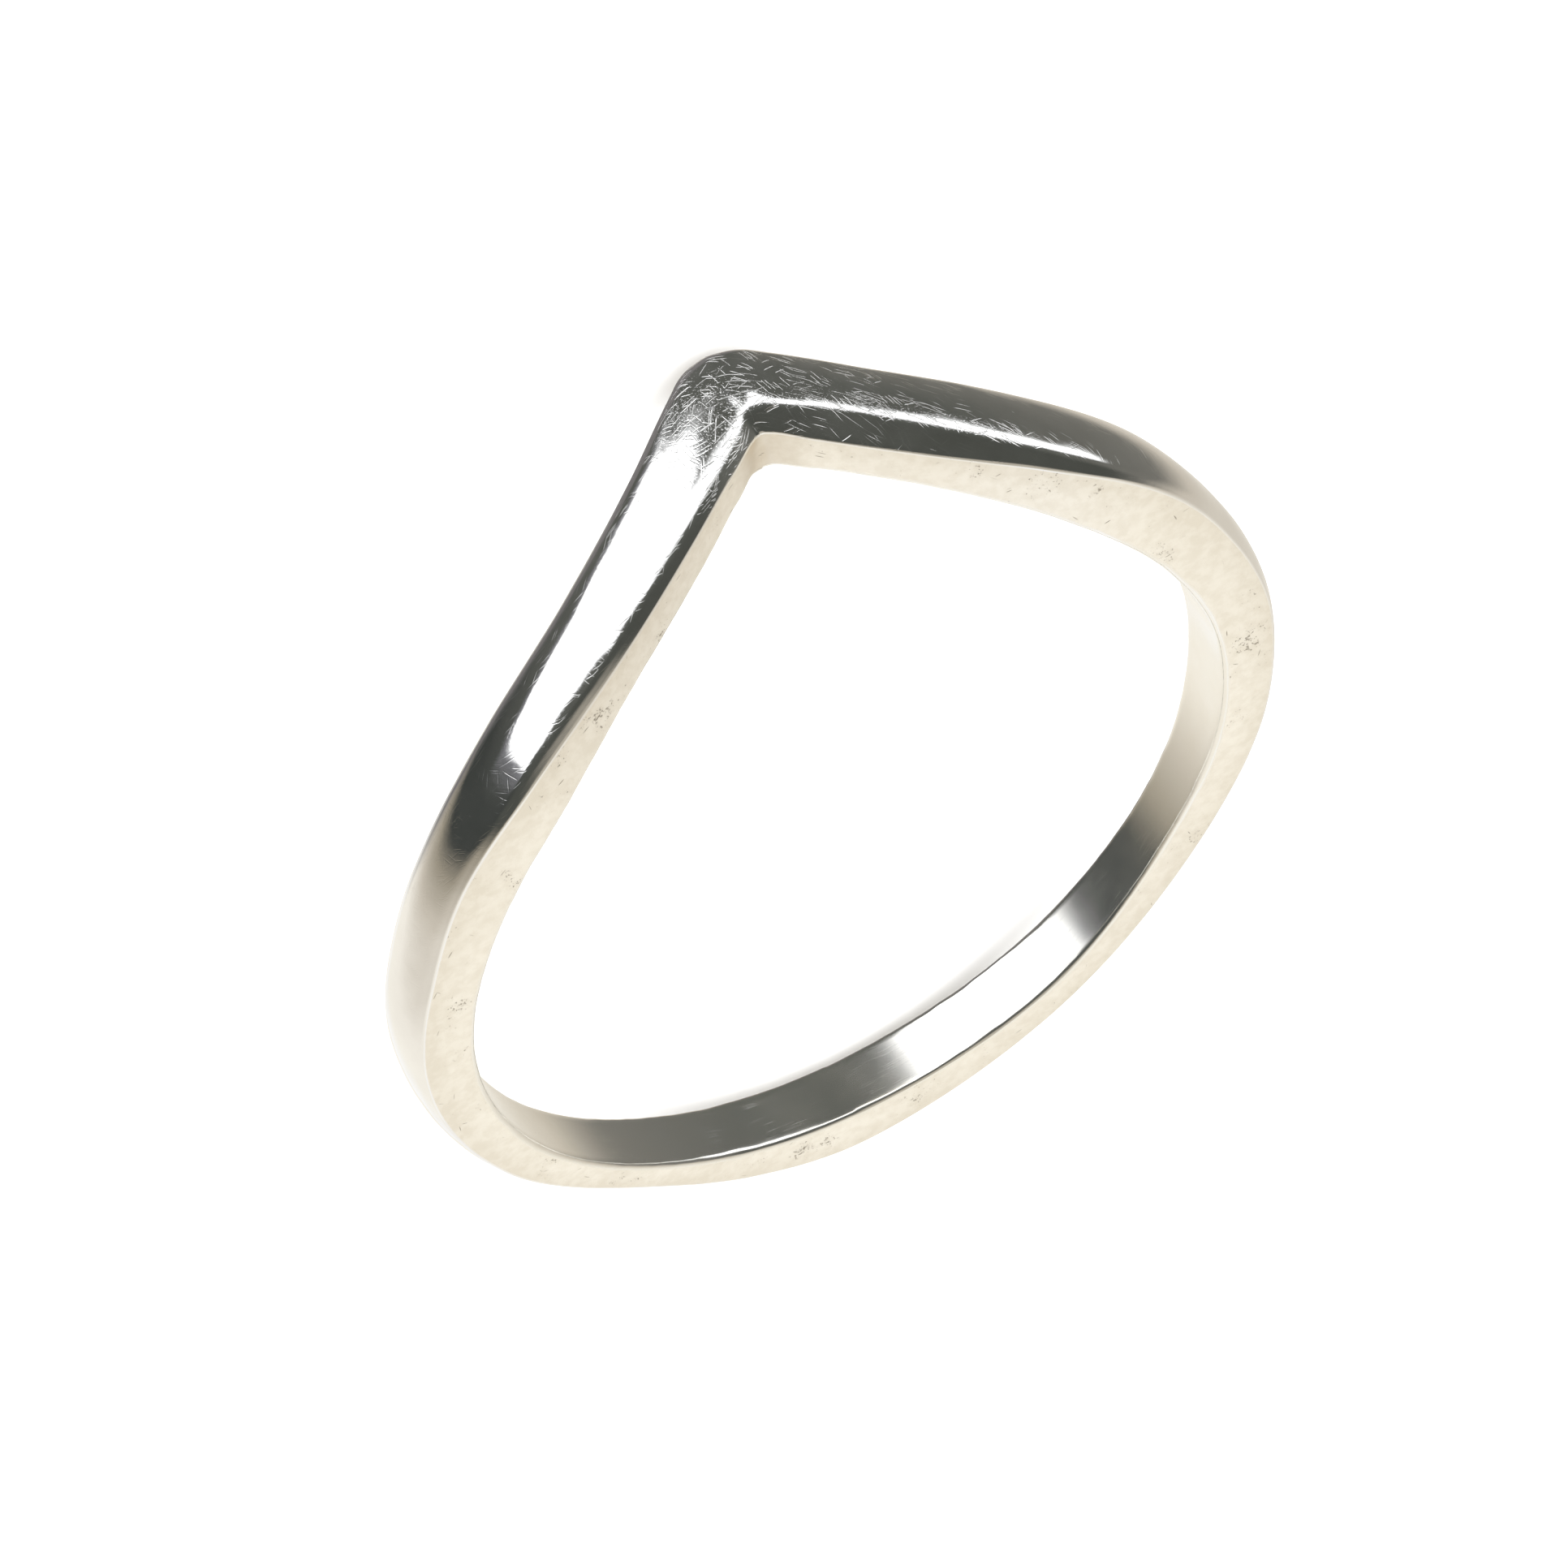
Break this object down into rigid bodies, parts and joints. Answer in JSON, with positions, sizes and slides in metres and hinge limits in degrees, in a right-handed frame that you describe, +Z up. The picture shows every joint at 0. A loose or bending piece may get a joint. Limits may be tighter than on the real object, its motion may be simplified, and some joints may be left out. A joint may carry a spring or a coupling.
{
  "type": "chevron ring",
  "caption": "One-piece silver finger ring: a flat-sided, low-domed band whose front dips to a rounded V.",
  "frame": {"origin": "on the resting plane, under the middle of the ring's outline", "axes": "+Z up from the resting plane, +Y from the V at the front towards the back of the shank, +X to the right arm"},
  "size_m": [0.02, 0.0208, 0.0051],
  "materials": {
    "silver": "polished solid silver, softly scratched outside, satin on the flat sides"
  },
  "bodies": {
    "root": {"chevron_band": "silver"}
  },
  "joints": []
}
